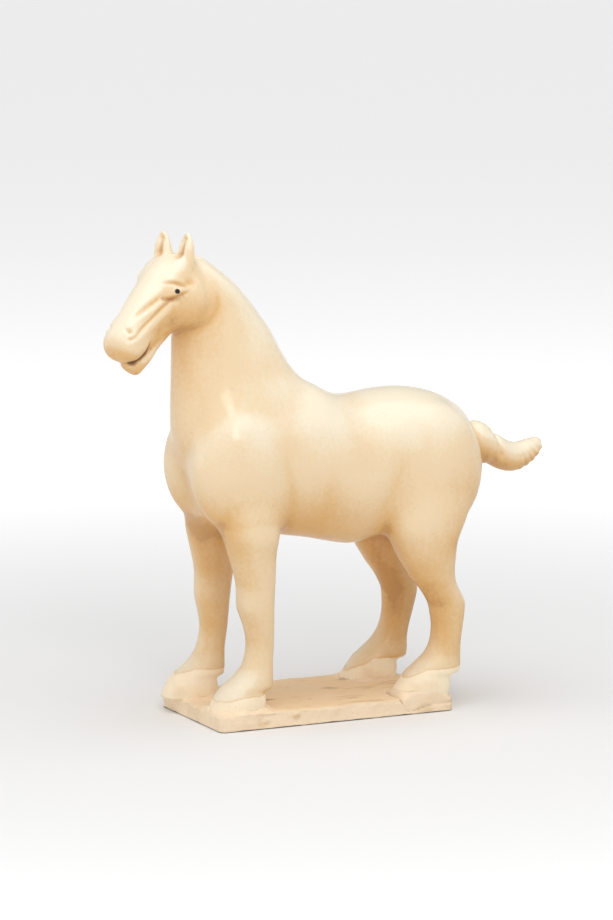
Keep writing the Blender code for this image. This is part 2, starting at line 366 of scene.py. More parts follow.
def applyModifier(obj, kind, **settings):
    pick(obj)
    bpy.ops.object.modifier_add(type=kind)
    modifier = obj.modifiers[-1]
    for key, value in settings.items():
        setattr(modifier, key, value)
    bpy.ops.object.modifier_apply(modifier=modifier.name)


def fuse(masses, voxel):
    clearSelection()
    for mass in masses:
        mass.select_set(True)
    bpy.context.view_layer.objects.active = masses[0]
    bpy.ops.object.join()
    body = bpy.context.object
    applyModifier(body, "REMESH", mode="VOXEL", voxel_size=voxel * mm)
    return body


def neighbourSums(obj):
    # for averaging over neighbours: the two ends of every edge and each vertex's count
    ends = np.empty(len(obj.data.edges) * 2, dtype=np.int64)
    obj.data.edges.foreach_get("vertices", ends)
    a, b = ends.reshape(-1, 2).T
    count = np.bincount(np.concatenate((a, b)), minlength=len(obj.data.vertices))
    return a, b, np.maximum(count, 1)


def averaged(values, links):
    a, b, count = links
    total = np.bincount(a, values[b], len(count)) + np.bincount(b, values[a], len(count))
    return total / count


def averagedPoints(points, links):
    return np.stack([averaged(points[:, k], links) for k in range(3)], 1)


def headSpace(points):
    # side, distance from the poll and height of each point, in millimetres
    inverse = np.array(headPlace().inverted())
    local = points @ inverse[:3, :3].T + inverse[:3, 3]
    return local[:, 0] / mm, -local[:, 1] / mm, local[:, 2] / mm


def fillCreases(body, rounds, strength):
    # clay pressed into the creases: a point moves towards its neighbours only outwards
    links = neighbourSums(body)
    points = meshPoints(body)
    for k in range(rounds):
        if k % 10 == 0:
            setPoints(body, points)
            normals = meshNormals(body)
        pull = averagedPoints(points, links) - points
        outward = np.maximum((pull * normals).sum(1), 0.0) * strength
        points = points + normals * outward[:, None] * 0.9
    setPoints(body, points)


def softenBody(body):
    # the trunk and neck become one smooth mass, the legs keep their form
    z = meshPoints(body)[:, 2] / mm
    trunkPart = smoothStep(z, 104, 148)
    fillCreases(body, horse["bodyFill"], 0.25 + 0.75 * trunkPart)
    weightGroup(body, "soft", 0.06 + 0.94 * trunkPart * (1 - 0.6 * smoothStep(z, 262, 320)))
    applyModifier(body, "SMOOTH", factor=0.5, iterations=horse["bodySmooth"], vertex_group="soft")


def softenHead(body):
    # the bridge of the head and the hooves are eased in, the muzzle and ear roots stay crisp
    side, along, up = headSpace(meshPoints(body))
    face = smoothStep(along, -6, 6) * (1 - smoothStep(along, 62, 74)) * smoothStep(up, -42, -34)
    earRoot = smoothStep(up + 0.9 * (along - 6), 12, 20) * (1 - smoothStep(along, 8, 18))
    face = face * (1 - earRoot) * (np.abs(side) < 40)
    feet = 1 - smoothStep(meshPoints(body)[:, 2] / mm, 46, 70)
    fillCreases(body, horse["headFill"], np.maximum(0.12 + 0.88 * face, 0.5 * feet))
    weightGroup(body, "face", np.maximum(0.12 + 0.88 * face, 0.22 * feet))
    applyModifier(body, "SMOOTH", factor=0.5, iterations=horse["headSmooth"], vertex_group="face")


rough = fuse(bodyMasses(), horse["roughClay"])
print("body blocked out:", len(rough.data.polygons), "faces")
softenBody(rough)
figure = fuse([rough] + headAndEnds(), horse["clay"])
figure.name = "horseFigure"
figure.data.name = "horseFigure"
figure.vertex_groups.clear()
softenHead(figure)
print("figure fused:", len(figure.data.polygons), "faces")


def besideLine(a, b, line):
    # how far each point lies from the line, and how far along it, 0 to 1
    gap = np.full(len(a), 1e9)
    run = np.zeros(len(a))
    lengths = [math.dist(p, q) for p, q in zip(line, line[1:])]
    done = 0.0
    for p, q, length in zip(line, line[1:], lengths):
        t = np.clip(((a - p[0]) * (q[0] - p[0]) + (b - p[1]) * (q[1] - p[1])) / length ** 2, 0, 1)
        d = np.hypot(a - p[0] - t * (q[0] - p[0]), b - p[1] - t * (q[1] - p[1]))
        closer = d < gap
        gap = np.where(closer, d, gap)
        run = np.where(closer, (done + t * length) / sum(lengths), run)
        done += length
    return gap, run


def strokeWeight(a, b, line, width, ends=(1.0, 1.0)):
    gap, run = besideLine(a, b, easedRows(line, 6))
    fade = ends[0] + (1 - ends[0]) * smoothStep(run, 0, 0.3)
    fade = fade * (ends[1] + (1 - ends[1]) * smoothStep(1 - run, 0, 0.3))
    return np.exp(-(gap / width) ** 2) * fade


# (distance from the poll, height) in the head's own frame, then how far it stands out, half width, ends
headStrokes = {
    "upperRidge": ([(31, 8.6), (38, 8.2), (47, 9.3), (57, 10.2), (64, 10.4), (70, 9.6)],
                   0.6, 2.2, (0.3, 0.6)),
    "valley": ([(35, 4.4), (44.5, 5.4), (54.6, 7.0), (63, 8.6), (67, 9.2)], -0.95, 1.8, (0.2, 0.1)),
    "lowerRidge": ([(36, 1.2), (46.4, 2.5), (56.4, 4.6), (65.9, 6.8), (71, 7.6)], 0.6, 1.7, (0.2, 0.7)),
    "longGroove": ([(35, -1.8), (44.4, -1.3), (52.4, -0.9), (60.7, 0), (68, 0.6), (73.5, 0.8), (78, 2.6)],
                   -1.45, 1.05, (0.9, 0.4)),
    "longCrest": ([(36, -6.2), (47, -5.2), (58, -4.2), (67, -3.4), (74, -2.5)], 0.8, 3.0, (0.3, 0.5)),
    "underCrest": ([(36, -16), (47, -14.5), (57, -12.5), (64, -11.5)], -0.9, 4.5, (0.3, 0.3)),
    "upperLid": ([(30, 8.8), (28, 7.6), (25.8, 5.0), (23.8, 1.4), (21.8, -1.6)], -1.1, 0.95, (0.5, 0.3)),
    "lidFold": ([(28, 10.4), (25, 8), (22.4, 4.4), (20.4, 1.4)], 0.5, 1.8, (0.3, 0.3)),
    "lowerLid": ([(38.6, 2.4), (35.4, -1), (32, -2.9), (29, -3.4), (26, -4.4), (23, -5.8)],
                 -1.15, 0.9, (0.8, 0.4)),
    "lowerFold": ([(33, -5), (29, -5.8), (25, -7)], 0.4, 1.5, (0.3, 0.3)),
    "templeHollow": ([(21, -1.5), (17, -4), (12, -6.5)], -1.0, 3.0, (0.5, 0.2)),
    "noseHook": ([(74.5, 1.4), (77.6, 2.2), (79.6, 4.2)], -0.7, 0.8, (0.6, 0.1)),
    "mouthSlit": ([(66, -13), (71, -15.4), (77, -16.4), (82, -15.4), (87, -12.6)], -1.5, 0.95, (0.3, 1.0)),
}
# the same place, then how far each spot stands out and its radius
headSpots = {
    "eyeball": (28.6, 0.2, 1.7, 4.2),
    "nostril": (73.6, 5.6, -1.9, 1.6),
    "nostrilRim": (76.2, 6.6, 0.6, 1.8),
    "nostrilWing": (72.6, 3.2, 0.4, 1.6),
}
# the round jaw stands proud of the neck behind and below: side, middle y, z, reach along and up
jawRims = ((1, -101, 301, 21.5, 20.5), (-1, -114, 301, 21.5, 20.5))

# side view of the body, y and z, both sides alike; the same columns
flankStrokes = {
    "shoulderCrease": ([(-43, 206), (-40, 194), (-37.5, 183), (-34, 172), (-31, 160), (-29.5, 149),
                        (-27, 137)], -0.7, 7.5, (0.0, 0.6)),
    "flankFold": ([(30, 132), (35, 142), (41, 153), (47, 168), (53, 181), (58, 194)], -0.55, 7.5, (0.4, 0.0)),
    "breastEdge": ([(-82, 140), (-72, 143), (-60, 144), (-48, 143), (-40, 139)], -0.55, 5.0, (0.5, 0.3)),
    "kneePan": ([(-67, 90), (-66, 84), (-64.5, 79)], 0.8, 5.0, (0.5, 0.5)),
}
shoulderFill = (-75, 215, 1.3, 13.8)       # full between neck and shoulder: y, z, rise, radius
breastFurrow = ([(1, 184), (2, 172), (2, 160), (1, 149)], -0.6, 6.0, (0.0, 0.4))      # x and z, in front

tail = {
    "from": (131, 136),      # y over which the tail leaves the rump
    "middle": 186,
    "knotEdge": 151.5,       # y of the groove behind the knot, which leans with the tail
    "knotLean": 0.14,
    "knotDepth": 1.5,
    "strand": 4.6,           # hair lines over the knot: spacing and depth
    "strandDepth": 0.12,
    "fanFrom": (166.5, 192),     # hair lines on the tip spread from here: y, z
    "fanStep": 12.5,         # degrees
    "fanDepth": 0.3,
}

# hoof middle x, y, then the height of the glaze edge at toe, side and heel
glazeLines = {
    "nearFore": (31.0, -70.0, 19.0, 22.0, 23.5),
    "farFore": (-31.0, -79.5, 25.0, 31.5, 31.0),
    "nearHind": (35.0, 73.0, 21.0, 29.5, 30.5),
    "farHind": (-35.0, 65.5, 17.0, 27.0, 27.0),
}


def sculptHead(points, normals):
    side, along, up = headSpace(points * mm)
    turn = np.array(headPlace())[:3, :3]
    localNormals = normals @ turn                  # columns: side, back, up
    nearby = np.nonzero((along > -14) & (along < 96) & (up > -46) & (up < 20) & (np.abs(side) < 34))[0]
    a, b, s = along[nearby], up[nearby], np.abs(side[nearby])
    flank = smoothStep(s, 2.5, 7.0) * smoothStep(np.abs(localNormals[nearby, 0]), 0.12, 0.5)
    push = np.zeros(len(nearby))
    for line, height, width, ends in headStrokes.values():
        push += height * strokeWeight(a, b, line, width, ends) * flank
    for along0, up0, height, width in headSpots.values():
        push += height * np.exp(-((a - along0) ** 2 + (b - up0) ** 2) / width ** 2) * flank
    points[nearby] += normals[nearby] * push[:, None]


def earHollow(points, side):
    # how deep in an ear's hollow each point lies, 0 to 1, and the way the ear stands
    place = np.array(headPlace() @ earStand(side))
    x, y, z = ((points * mm - place[:3, 3]) @ place[:3, :3] / mm).T
    f = z / head["earHeight"] + 0.22
    inside = np.exp(-(x / (0.52 * head["earWidth"])) ** 2)
    inside = inside * smoothStep(f, 0.2, 0.45) * (1 - smoothStep(f, 0.82, 1.0))
    ahead = smoothStep(-y, -1.0, 1.5) * (np.abs(x) < 9) * (np.abs(y) < 9)
    return inside * ahead, place


def sculptEars(points, normals):
    for side in (1, -1):
        inside, place = earHollow(points, side)
        ahead = -(normals @ place[:3, :3])[:, 1]
        points -= normals * (head["earHollow"] * inside * smoothStep(ahead, 0.1, 0.5))[:, None]


def sculptBody(points, normals):
    x, y, z = points.T
    sides = smoothStep(np.abs(x), 14, 26) * smoothStep(np.abs(normals[:, 0]), 0.15, 0.5)
    push = np.zeros(len(points))
    for line, height, width, ends in flankStrokes.values():
        push += height * strokeWeight(y, z, line, width, ends) * sides
    fillY, fillZ, rise, radius = shoulderFill
    push += rise * np.exp(-((y - fillY) ** 2 + 0.7 * (z - fillZ) ** 2) / radius ** 2) * sides
    front = smoothStep(-y, 70, 82) * smoothStep(-normals[:, 1], 0.2, 0.6)
    line, height, width, ends = breastFurrow
    push += height * strokeWeight(x, z, line, width, ends) * front
    for side, middleY, middleZ, reachY, reachZ in jawRims:
        away = np.hypot((y - middleY) / reachY, (z - middleZ) / reachZ)
        rear = smoothStep(y - middleY, -4, 10) * (1 - smoothStep(z, middleZ - 2, middleZ + 17))
        outer = rear * smoothStep(normals[:, 0] * side, 0.1, 0.5) * (x * side > 6)
        step = 1.5 * (1 - smoothStep(away, 0.8, 1.02)) - 0.45 * np.exp(-((away - 1.05) / 0.06) ** 2)
        push += step * outer
    # the mane: a thin roll down the crest between two grooves
    low, high = horse["maneSpan"]
    crest = smoothStep(normals[:, 1] + 0.5 * normals[:, 2], 0.1, 0.5) * (y > -100)
    crest = crest * smoothStep(z, low, low + horse["maneFade"]) * (1 - smoothStep(z, high - 3, high + 3))
    out, wide, depth = horse["maneGroove"]
    roll = horse["maneRise"] * np.exp(-(x / horse["maneRoll"]) ** 2)
    roll = roll - depth * np.exp(-((np.abs(x) - out) / wide) ** 2)
    push += roll * crest
    points += normals * push[:, None]


def sculptTail(points, normals):
    x, y, z = points.T
    above = z - tail["middle"]
    onTail = smoothStep(y, *tail["from"]) * (z > 150) * (z < 220)
    edge = y - (tail["knotEdge"] - tail["knotLean"] * above)
    push = -tail["knotDepth"] * np.exp(-(edge / 1.6) ** 2) * onTail * smoothStep(z, 172, 178)
    # hair lines: over the knot they curve down and back, on the tip they fan
    knot = onTail * (1 - smoothStep(y, 147, 151))
    strands = np.cos(2 * math.pi * (y - 0.2 * above - 0.012 * above ** 2) / tail["strand"])
    push += tail["strandDepth"] * strands * knot
    fanY, fanZ = tail["fanFrom"]
    fan = np.degrees(np.arctan2(y - fanY, fanZ - z))
    tip = smoothStep(np.hypot(y - fanY, z - fanZ), 6, 13) * smoothStep(y, 166, 173) * onTail
    push += tail["fanDepth"] * np.cos(2 * math.pi * fan / tail["fanStep"]) * tip
    points += normals * push[:, None]


def sculpt(body):
    points = meshPoints(body) / mm
    normals = meshNormals(body)
    sculptHead(points, normals)
    sculptEars(points, normals)
    sculptBody(points, normals)
    sculptTail(points, normals)
    setPoints(body, points * mm)
    # flat soles, sunk a little into the slab's top
    pick(body)
    bpy.ops.object.mode_set(mode="EDIT")
    bpy.ops.mesh.select_all(action="SELECT")
    bpy.ops.mesh.bisect(plane_co=(0, 0, horse["sole"] * mm), plane_no=(0, 0, 1),
                        use_fill=True, clear_inner=True)
    bpy.ops.object.mode_set(mode="OBJECT")


def thin(body, target):
    body.data.calc_loop_triangles()
    count = len(body.data.loop_triangles)
    if count > target:
        applyModifier(body, "DECIMATE", decimate_type="COLLAPSE", ratio=target / count)
    pick(body)
    bpy.ops.object.shade_smooth()


def paint(obj, name, values):
    layer = obj.data.attributes.new(name, "FLOAT", "POINT")
    layer.data.foreach_set("value", np.asarray(values, dtype=np.float32))


def soft(values, links, rounds):
    for _ in range(rounds):
        values = averaged(values, links)
    return values


def hollowness(points, normals, links, rounds):
    # how far the surface lies below its own average, in millimetres
    smooth = points
    for _ in range(rounds):
        smooth = averagedPoints(smooth, links)
    return ((smooth - points) * normals).sum(1)


# glaze tone from 0 to 1, thin to deep: thicker glaze mixed with painted shade, lowered by painted light on
# tops; where it starts, and what each kind of place adds
tone = {
    "all": 0.35,
    "undersides": 0.42,
    "tops": -0.26,
    "broadHollows": 0.14,
    "fineHollows": 0.10,
    "insideLegs": 0.2,
    "low": 0.08,
    "lowBehind": 0.20,
    "throat": 0.24,
    "rear": 0.25,
    "underTail": 0.3,
    "tail": -0.22,
    "breastFold": 0.13,
    "neckFront": 0.26,
    "chestFront": 0.25,
    "head": 0.14,
    "headHollows": 0.04,
    "headCreases": 0.08,
    "headTops": -0.12,
    "underJaw": 0.12,
    "cheek": 0.22,
    "jawBlur": 0.85,        # how far the tone round the jaw is evened out
}


def glazePoolAndShade(points, normals, links, wide, creases, headPoints):
    side, along, up = headPoints
    x, y, z = points.T
    down = smoothStep(-normals[:, 2], -0.4, 0.62)
    upward = smoothStep(normals[:, 2], 0.05, 0.8)
    facing = smoothStep(-normals[:, 1], 0.1, 1.0)
    legs = 1 - smoothStep(z, 118, 150)
    low = 1 - smoothStep(z, 70, 185)
    # painted shade mixed with thicker glaze: darker on undersides, in hollows, inside the legs, low down,
    # under the neck and tail, on the rear, in the breast fold and on the front of the neck and chest; painted
    # light: paler on tops
    poolAndShade = tone["all"] + tone["undersides"] * down + tone["tops"] * upward
    poolAndShade += tone["broadHollows"] * wide + tone["fineHollows"] * creases
    poolAndShade += tone["insideLegs"] * legs * smoothStep(-normals[:, 0] * np.sign(x), -0.2, 0.7)
    poolAndShade += tone["low"] * low + tone["lowBehind"] * smoothStep(y, 40, 80) * low
    underNeck = smoothStep(-normals[:, 2] - 0.25 * normals[:, 1], 0.1, 0.8)
    poolAndShade += tone["throat"] * smoothStep(z, 200, 262) * underNeck
    poolAndShade += tone["rear"] * smoothStep(y, 62, 112) * (z > 110) * (1 - upward)
    poolAndShade += smoothStep(y, 132, 137) * (tone["underTail"] * down + tone["tail"])
    fold = strokeWeight(y, z, flankStrokes["breastEdge"][0], 14.0, (1.0, 0.3)) * (np.abs(x) > 12)
    poolAndShade += tone["breastFold"] * fold
    poolAndShade += tone["neckFront"] * facing * smoothStep(z, 175, 250) * smoothStep(-up, 24, 44)
    poolAndShade += tone["chestFront"] * facing * (1 - smoothStep(z, 135, 180)) * smoothStep(z, 105, 135)
    # the head: thicker glaze and painted shade in its hollows, deeper tone on the cheeks, painted shade on
    # the underside of the round jaw, painted light on its tops
    onHead = smoothStep(along, -4, 10) * smoothStep(up, -44, -36)
    poolAndShade += onHead * (tone["head"] + tone["headHollows"] * wide + tone["headCreases"] * creases
                      + tone["headTops"] * upward)
    # painted shade under the round jaw
    underJaw = smoothStep(-z, -304, -276) * smoothStep(z, 252, 274) * smoothStep(-y, 72, 90)
    poolAndShade += tone["underJaw"] * underJaw * (1 - smoothStep(along, 28, 62)) * smoothStep(along, -20, 8)
    disc = smoothStep(y, -124, -104) * smoothStep(z, 278, 290) * (1 - smoothStep(z, 312, 330))
    poolAndShade += tone["cheek"] * disc * (np.abs(x) > 10) * onHead * (1 - upward) * (1 - underJaw)
    # the tone runs softly round the jaw and down the neck
    blurred = soft(np.clip(poolAndShade, 0, 1), links, 60)
    veil = smoothStep(z, 236, 262) * smoothStep(-y, 66, 84)
    veil = veil * (1 - smoothStep(along, 40, 60)) * smoothStep(-up, 2, 14)
    return poolAndShade + veil * (blurred - poolAndShade) * tone["jawBlur"]


def paintFigure(body):
    points = meshPoints(body) / mm
    normals = meshNormals(body)
    links = neighbourSums(body)
    x, y, z = points.T
    side, along, up = headSpace(points * mm)
    fine = np.clip(hollowness(points, normals, links, 5) / 0.10, -0.6, 2.0)
    wide = np.clip(hollowness(points, normals, links, 70) / 0.9, -0.7, 1.3)
    # glaze tone: thicker glaze with painted shade in hollows and on undersides, and painted light on tops
    poolAndShade = glazePoolAndShade(points, normals, links, wide, soft(fine, links, 1), (side, along, up))
    paint(body, "poolAndShade", soft(np.clip(poolAndShade, 0, 1.2), links, 2))

    # signed distances in millimetres, so that the painted edges stay crisp
    edge = np.full(len(points), 99.0)
    for cx, cy, toe, flank, heel in glazeLines.values():
        reach = np.clip((y - cy) / 19.0, -1, 1)
        height = flank + np.where(reach < 0, (flank - toe) * reach, (heel - flank) * reach)
        here = (np.abs(x - cx) < 30) & (np.abs(y - cy) < 42)
        edge = np.where(here, np.minimum(edge, z - height), edge)
    paint(body, "aboveGlazeEdge", np.clip(edge, -20, 20))
    eye = np.hypot(along - eyes["along"], up - eyes["up"])
    onSide = (np.abs(side) > 10) & (np.abs(side) < 30)
    paint(body, "fromPupil", np.where(onSide, np.minimum(eye, 20.0), 20.0))
    # painted shade in the lid creases
    lidShade = strokeWeight(along, up, headStrokes["lowerLid"][0], 1.9, (1.0, 0.3))
    lidShade += 0.35 * strokeWeight(along, up, headStrokes["upperLid"][0], 1.2, (0.5, 0.9))
    paint(body, "lidShade", np.clip(lidShade, 0, 1) * onSide)
    # painted shade round the mouth's creases and painted shadow along its slit
    mouth = smoothStep(along, 65, 69) * smoothStep(up, -20.5, -18.5) * (1 - smoothStep(up, -12.5, -11))
    slit = strokeWeight(along, up, headStrokes["mouthSlit"][0], 1.1, (0.4, 1.0)) * (np.abs(side) > 4)
    crease = soft(fine, links, 2)
    inMouth = np.maximum(mouth * smoothStep(crease, 0.3, 1.2), 0.7 * slit * smoothStep(crease, 0, 0.6))
    paint(body, "inMouth", soft(inMouth, links, 2))
    # painted shade with thicker glaze in the ear hollows
    earDepth = np.maximum(earHollow(points, 1)[0], earHollow(points, -1)[0])
    paint(body, "inEar", soft(earDepth * smoothStep(fine, -0.1, 0.6), links, 1))


sculpt(figure)
thin(figure, horse["triangles"])
paintFigure(figure)
print("figure:", len(figure.data.polygons), "faces")


# the slab keeps the size that the frame gives it
slabLow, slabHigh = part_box("base_slab")
width, length, thickness = (round((high - low) / mm, 2) for low, high in zip(slabLow, slabHigh))
slab = {
    "length": length,
    "width": width,
    "thickness": thickness,
    "edge": 1.6,
    "grain": 1.0,           # voxel size
    "wear": 2.4,            # most that the sides are worn back
    "hoofClay": 2.3,        # how high clay is pressed up round the hooves
    "ledge": 6.0,           # what is left of the near side below the broken corner
    "ledgeLine": [(50.6, 9.5), (53, 4), (57, 1.6), (66, 4.2), (74, 5.8), (83, 6.4), (93, 6)],    # y, z
    "crackLine": [(21, 53.5), (28, 50.4), (36, 49.6), (45, 49.8), (53, 50.4)],                   # x, y
    "crackDepth": 2.0,
}


def buildSlab():
    clearSelection()
    bpy.ops.mesh.primitive_cube_add(size=1, location=(0, 0, slab["thickness"] * mm / 2))
    base = bpy.context.object
    base.name = "slabFigure"
    base.scale = [slab[key] * mm for key in ("width", "length", "thickness")]
    bpy.ops.object.transform_apply(location=True, rotation=False, scale=True)
    bpy.ops.object.mode_set(mode="EDIT")
    bpy.ops.mesh.select_all(action="SELECT")
    bpy.ops.mesh.bevel(offset=slab["edge"] * mm, segments=4, affect="EDGES")
    bpy.ops.object.mode_set(mode="OBJECT")
    applyModifier(base, "REMESH", mode="VOXEL", voxel_size=slab["grain"] * mm)
    return base


def bumps(points, size, seed=0.0):
    # soft random heights, about -1 to 1, on lumps of the given size in mm
    shift = Vector((seed, seed * 1.7, -seed))
    return np.array([noise.noise(Vector(p) / size + shift) for p in points.tolist()])


def hoofGap(x, y, hoof):
    # distance outwards from a hoof's foot, in millimetres
    cx, cy = glazeLines[hoof][:2]
    flank, reach = 17.5, 20.5
    round4 = (np.abs((x - cx) / flank) ** 2.4 + np.abs((y - cy) / reach) ** 2.4) ** (1 / 2.4)
    return (round4 - 1) * 18.5


def sculptSlab(base):
    points = meshPoints(base) / mm
    normals = meshNormals(base)
    x, y, z = points.T.copy()
    halfX, halfY = slab["width"] / 2, slab["length"] / 2
    free = smoothStep(z, 0.4, 3.0)                                   # the underside stays flat
    # worn sides and corners
    sidesX = smoothStep(np.abs(normals[:, 0]), 0.3, 0.9)
    sidesY = smoothStep(np.abs(normals[:, 1]), 0.3, 0.9)
    wear = 0.75 + 1.0 * bumps(points, 17, 3) + 0.6 * bumps(points, 6, 8) + 0.25 * bumps(points, 2.8, 9)
    wear = np.clip(wear, 0, slab["wear"]) * (0.2 + 0.8 * free) * (1 - 0.8 * smoothStep(y, 46, 54) * (x > 0))
    corner = np.clip(4.5 - np.hypot(halfX - np.abs(x), halfY - np.abs(y)), 0, 4.5)
    x -= np.sign(x) * (wear * sidesX + 0.35 * corner)
    y -= np.sign(y) * (wear * sidesY + 0.35 * corner)
    # the top: gently uneven, its rim rolled down, clay pressed up round the hooves
    top = smoothStep(z, 10.2, 11.6)
    rim = np.minimum(halfX - np.abs(x), halfY - np.abs(y))
    z += top * (0.32 * bumps(points, 22, 1) + 0.12 * bumps(points, 5, 5) - 0.15)
    z -= top * 1.7 * np.exp(-(rim / 2.6) ** 2) * np.clip(0.6 + 0.9 * bumps(points, 10, 2), 0, 1.3)
    for k, hoof in enumerate(glazeLines):
        gap = hoofGap(x, y, hoof)
        lumps = np.clip(0.6 + 0.9 * bumps(points, 7, 11 + k) + 0.4 * bumps(points, 3, 15 + k), 0, 1.5)
        z += top * slab["hoofClay"] * lumps * np.exp(-(np.maximum(gap, 0) / 2.8) ** 2)
    # the crack before the near hind hoof, and the pit it starts from
    fan = smoothStep(y, 50, 52) * smoothStep(x, 30, 38) * smoothStep(z, 8, 11)
    z += fan * 4.5 * np.exp(-(np.maximum(hoofGap(x, y, "nearHind"), 0) / 5.0) ** 2)
    gap = besideLine(x, y, slab["crackLine"])[0]
    z -= smoothStep(z, 7, 10) * slab["crackDepth"] * np.exp(-(gap / 0.9) ** 2)
    pitX, pitY = slab["crackLine"][0]
    z -= top * 2.8 * np.exp(-(np.hypot(x - pitX, y - pitY) / 1.7) ** 2)
    # the broken near corner: a low step along the side, then a slope across the corner
    rough = 0.7 * bumps(points, 4, 21) + 0.8 * bumps(points, 10, 22)
    ledge = 1.5 + (slab["ledge"] - 1.5) * smoothStep(y, 56, 80)
    x -= 1.2 * smoothStep(z - ledge, -0.5, 0.5) * smoothStep(y, 52, 58) * (x > halfX - 4)
    gap = besideLine(y, z, slab["ledgeLine"])[0]
    x -= 0.7 * np.exp(-(gap / 0.8) ** 2) * (x > halfX - 5)
    cut = slab["ledge"] - 0.6 + rough + 0.66 * (halfX - x + halfY - y)
    over = np.maximum(z - cut, 0) * (x > 30) * (y > 60) / 2.28
    x -= 0.8 * over
    y -= 0.8 * over
    z -= over
    # shallow smears on the side below the near fore hoof
    flank = smoothStep(x, halfX - 3, halfX - 1) * free
    x += flank * 0.5 * np.exp(-((y + 72) / 16) ** 2) * (0.6 + bumps(points, 5, 30))
    z = np.minimum(z, slab["thickness"] + 4.0)
    x = np.clip(x, -halfX, halfX)
    y = np.clip(y, -halfY, halfY)
    setPoints(base, np.stack([x, y, np.maximum(z, 0)], 1) * mm)


def paintSlab(base):
    points = meshPoints(base) / mm
    normals = meshNormals(base)
    x, y, z = points.T
    top = smoothStep(normals[:, 2], 0.35, 0.85)
    rim = np.minimum(slab["width"] / 2 - np.abs(x), slab["length"] / 2 - np.abs(y))
    between = np.ones(len(points))
    for hoof in glazeLines:
        between *= smoothStep(hoofGap(x, y, hoof), 1.5, 9)
    between *= 0.25 + 0.75 * smoothStep(y, -80, -50)
    paint(base, "topStain", top * between * smoothStep(rim, 0.5, 5))
    onTop = np.minimum(besideLine(x, y, slab["crackLine"])[0] + 4 * (z < 8), 9)
    onSide = 0.4 + besideLine(y, z, slab["ledgeLine"])[0] + 9 * (x < slab["width"] / 2 - 5)
    paint(base, "fromCrack", np.minimum(onTop, onSide))
    paint(base, "height", z)


slabPiece = buildSlab()
sculptSlab(slabPiece)
paintSlab(slabPiece)
pick(slabPiece)
bpy.ops.object.shade_smooth()
print("slab:", len(slabPiece.data.polygons), "faces")


class Wire:
    # an output socket with arithmetic: each sign adds a Math node
    def __init__(self, graph, socket):
        self.graph = graph
        self.socket = socket

    def __add__(self, other): return self.graph.math("ADD", self, other)
    def __radd__(self, other): return self.graph.math("ADD", other, self)
    def __sub__(self, other): return self.graph.math("SUBTRACT", self, other)
    def __rsub__(self, other): return self.graph.math("SUBTRACT", other, self)
    def __mul__(self, other): return self.graph.math("MULTIPLY", self, other)
    def __rmul__(self, other): return self.graph.math("MULTIPLY", other, self)


class Graph:
    def __init__(self, name):
        self.material = bpy.data.materials.new(name)
        self.material.use_nodes = True
        self.tree = self.material.node_tree
        self.tree.nodes.clear()

    def node(self, kind, settings=None, values=None, out=0):
        made = self.tree.nodes.new(kind)
        for key, value in (settings or {}).items():
            setattr(made, key, value)
        for key, value in (values or {}).items():
            self.put(made.inputs[key], value)
        return Wire(self, made.outputs[out])

    def put(self, socket, value):
        if isinstance(value, Wire):
            self.tree.links.new(value.socket, socket)
        else:
            socket.default_value = value

    def math(self, operation, *values):
        return self.node("ShaderNodeMath", {"operation": operation}, dict(enumerate(values)))

    def clamp(self, value):
        return self.node("ShaderNodeClamp", None, {0: value})

    def ramp(self, value, low, high, start=0.0, end=1.0):
        # a soft step from start to end while the value goes from low to high
        return self.node("ShaderNodeMapRange", {"interpolation_type": "SMOOTHSTEP"},
                         {"Value": value, "From Min": low, "From Max": high, "To Min": start, "To Max": end})

    def blend(self, first, second, factor):
        # inputs by number: a Mix node has same-named sockets for each data type
        return self.node("ShaderNodeMix", {"data_type": "RGBA"}, {0: factor, 6: first, 7: second}, 2)

    def place(self):
        return self.node("ShaderNodeTexCoord", None, None, 3)       # Object coordinates

    def split(self, vector):
        return [self.node("ShaderNodeSeparateXYZ", None, {0: vector}, k) for k in range(3)]

    def gather(self, x, y, z):
        return self.node("ShaderNodeCombineXYZ", None, {0: x, 1: y, 2: z})

    def vectorMath(self, operation, *values, out=0):
        return self.node("ShaderNodeVectorMath", {"operation": operation}, dict(enumerate(values)), out)

    def noise(self, place, scale, detail=3.0, rough=0.5, distort=0.0):
        return self.node("ShaderNodeTexNoise", None, {
            "Vector": place, "Scale": scale, "Detail": detail, "Roughness": rough, "Distortion": distort})

    def attribute(self, name):
        return self.node("ShaderNodeAttribute", {"attribute_name": name}, None, 2)

    def finish(self, shader):
        output = self.tree.nodes.new("ShaderNodeOutputMaterial")
        self.tree.links.new(shader.socket, output.inputs["Surface"])
        return self.material


glaze = {
    # by glaze thickness with painted shade, thin to deepest; the thin end also shows painted light on tops
    "thin": (0.88, 0.78, 0.60, 1),
    "straw": (0.83, 0.64, 0.405, 1),
    "amber": (0.74, 0.45, 0.18, 1),
    # deepest brown: deep glaze and craze lines, and painted shade in the deepest hollows, the lid creases,
    # the ear hollows and the mouth
    "pooledAndShade": (0.42, 0.17, 0.05, 1),
    "pit": (0.20, 0.09, 0.03, 1),
    "clay": (0.95, 0.81, 0.60, 1),
    "clayShade": (0.76, 0.55, 0.34, 1),
    "pupil": (0.012, 0.010, 0.009, 1),
    # painted shadow in the slit of the mouth
    "mouth": (0.11, 0.045, 0.018, 1),
    "roughness": 0.5,
    "sheen": 0.22,          # specular level under the gloss
    "gloss": 0.54,          # weight of the coat, less towards the hooves
    "glossBlur": 0.11,
    # unevenness: long runs, broad patches, fine mottle, craze lines, pinholes
    "runs": 0.2,
    "patches": 0.15,
    "mottle": 0.27,
    "craze": 0.09,
    "pinholes": 0.2,
    "edgeWander": 3.0,      # of the glaze edge on the hooves, mm
}


